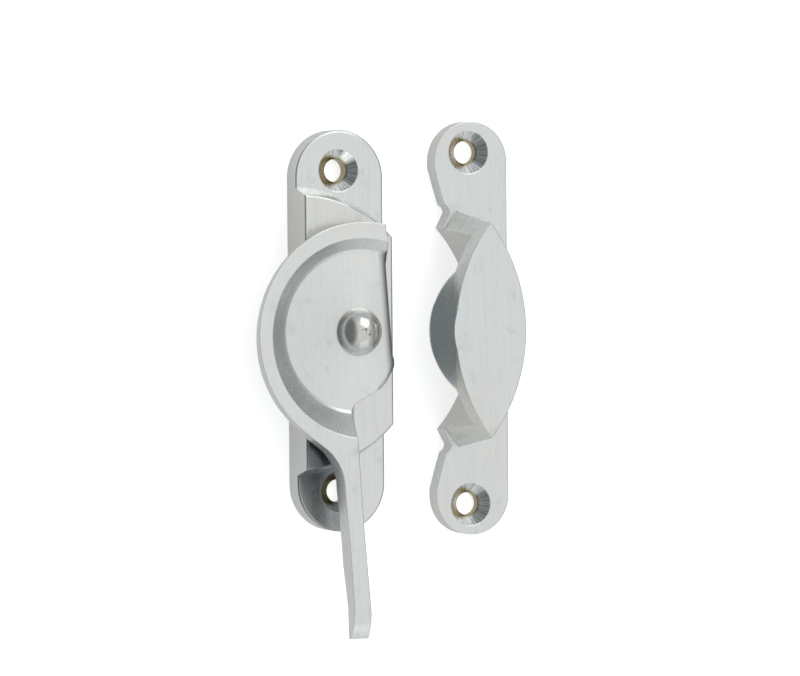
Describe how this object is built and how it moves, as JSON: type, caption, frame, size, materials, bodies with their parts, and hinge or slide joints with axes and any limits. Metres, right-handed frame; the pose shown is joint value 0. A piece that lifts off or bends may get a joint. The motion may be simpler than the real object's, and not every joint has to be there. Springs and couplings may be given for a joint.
{
  "type": "sash window cam fastener",
  "caption": "Cam fastener for sliding sash windows: round-ended base with a dished turning arm and finger lever, and a lens-topped hooked keeper.",
  "frame": {"origin": "midway between the two screw holes of the base plate, on its mounting face", "axes": "+X from the base plate towards the keeper, +Y along the plates away from the resting lever, +Z out of the mounting face"},
  "size_m": [0.0483, 0.0843, 0.016],
  "materials": {
    "base_plating": "satin chrome plate on brass, fine grain along the plate",
    "arm_plating": "satin chrome plate on brass, turned dish",
    "polished_plating": "polished chrome plate on brass",
    "keeper_plating": "satin chrome plate on brass, fine grain along the plate",
    "washer_brass": "plain brass",
    "spring_steel": "oiled spring steel"
  },
  "bodies": {
    "base": {"base_plate": "base_plating", "thrust_washer": "washer_brass", "spring_washer": "spring_steel"},
    "arm": {"cam_arm": "arm_plating", "pivot_rivet": "polished_plating", "tail_washer": "washer_brass"},
    "keeper": {"keeper_plate": "keeper_plating"}
  },
  "joints": [
    {"name": "arm_turn", "type": "hinge", "parent": "base", "child": "arm", "pos_m": [0.001, 0, 0.0075], "axis": [0, 0, -1], "range_deg": [0, 180]},
    {"name": "sash_slide", "type": "slide", "parent": "keeper", "child": "base", "axis": [0, 0, 1], "range_m": [0, 0.04]}
  ]
}
